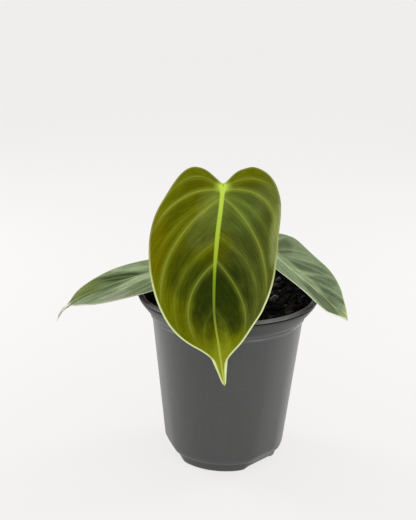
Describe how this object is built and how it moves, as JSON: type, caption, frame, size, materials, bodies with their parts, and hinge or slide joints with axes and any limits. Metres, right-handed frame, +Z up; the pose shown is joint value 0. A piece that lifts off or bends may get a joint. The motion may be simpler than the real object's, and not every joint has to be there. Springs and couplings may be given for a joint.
{
  "type": "potted philodendron",
  "caption": "Young velvet-leaved philodendron with heart-shaped drip-tip leaves on slender stalks, in a round tapered plastic nursery pot filled with potting mix.",
  "frame": {"origin": "on the pot's axis, on the plane that the pot stands on", "axes": "+Z up; the large front leaf faces -Y; +X is to the right of a viewer who looks along +Y"},
  "size_m": [0.1649, 0.1137, 0.1767],
  "materials": {
    "pot_plastic": "moulded charcoal polypropylene, satin",
    "potting_mix": "moist peat and bark potting mix, matte",
    "stem_green": "green stem with brown nodes, matte",
    "stalk_green": "smooth green leaf stalk, satin",
    "young_leaf": "olive to bronze velvet leaf with lime veins",
    "grown_leaf": "grey green velvet leaf with pale veins"
  },
  "bodies": {
    "root": {"pot": "pot_plastic", "soil": "potting_mix", "stem": "stem_green", "stalk_front": "stalk_green", "stalk_left": "stalk_green", "stalk_right": "stalk_green", "leaf_front": "young_leaf", "leaf_left": "grown_leaf", "leaf_right": "grown_leaf"}
  },
  "joints": []
}
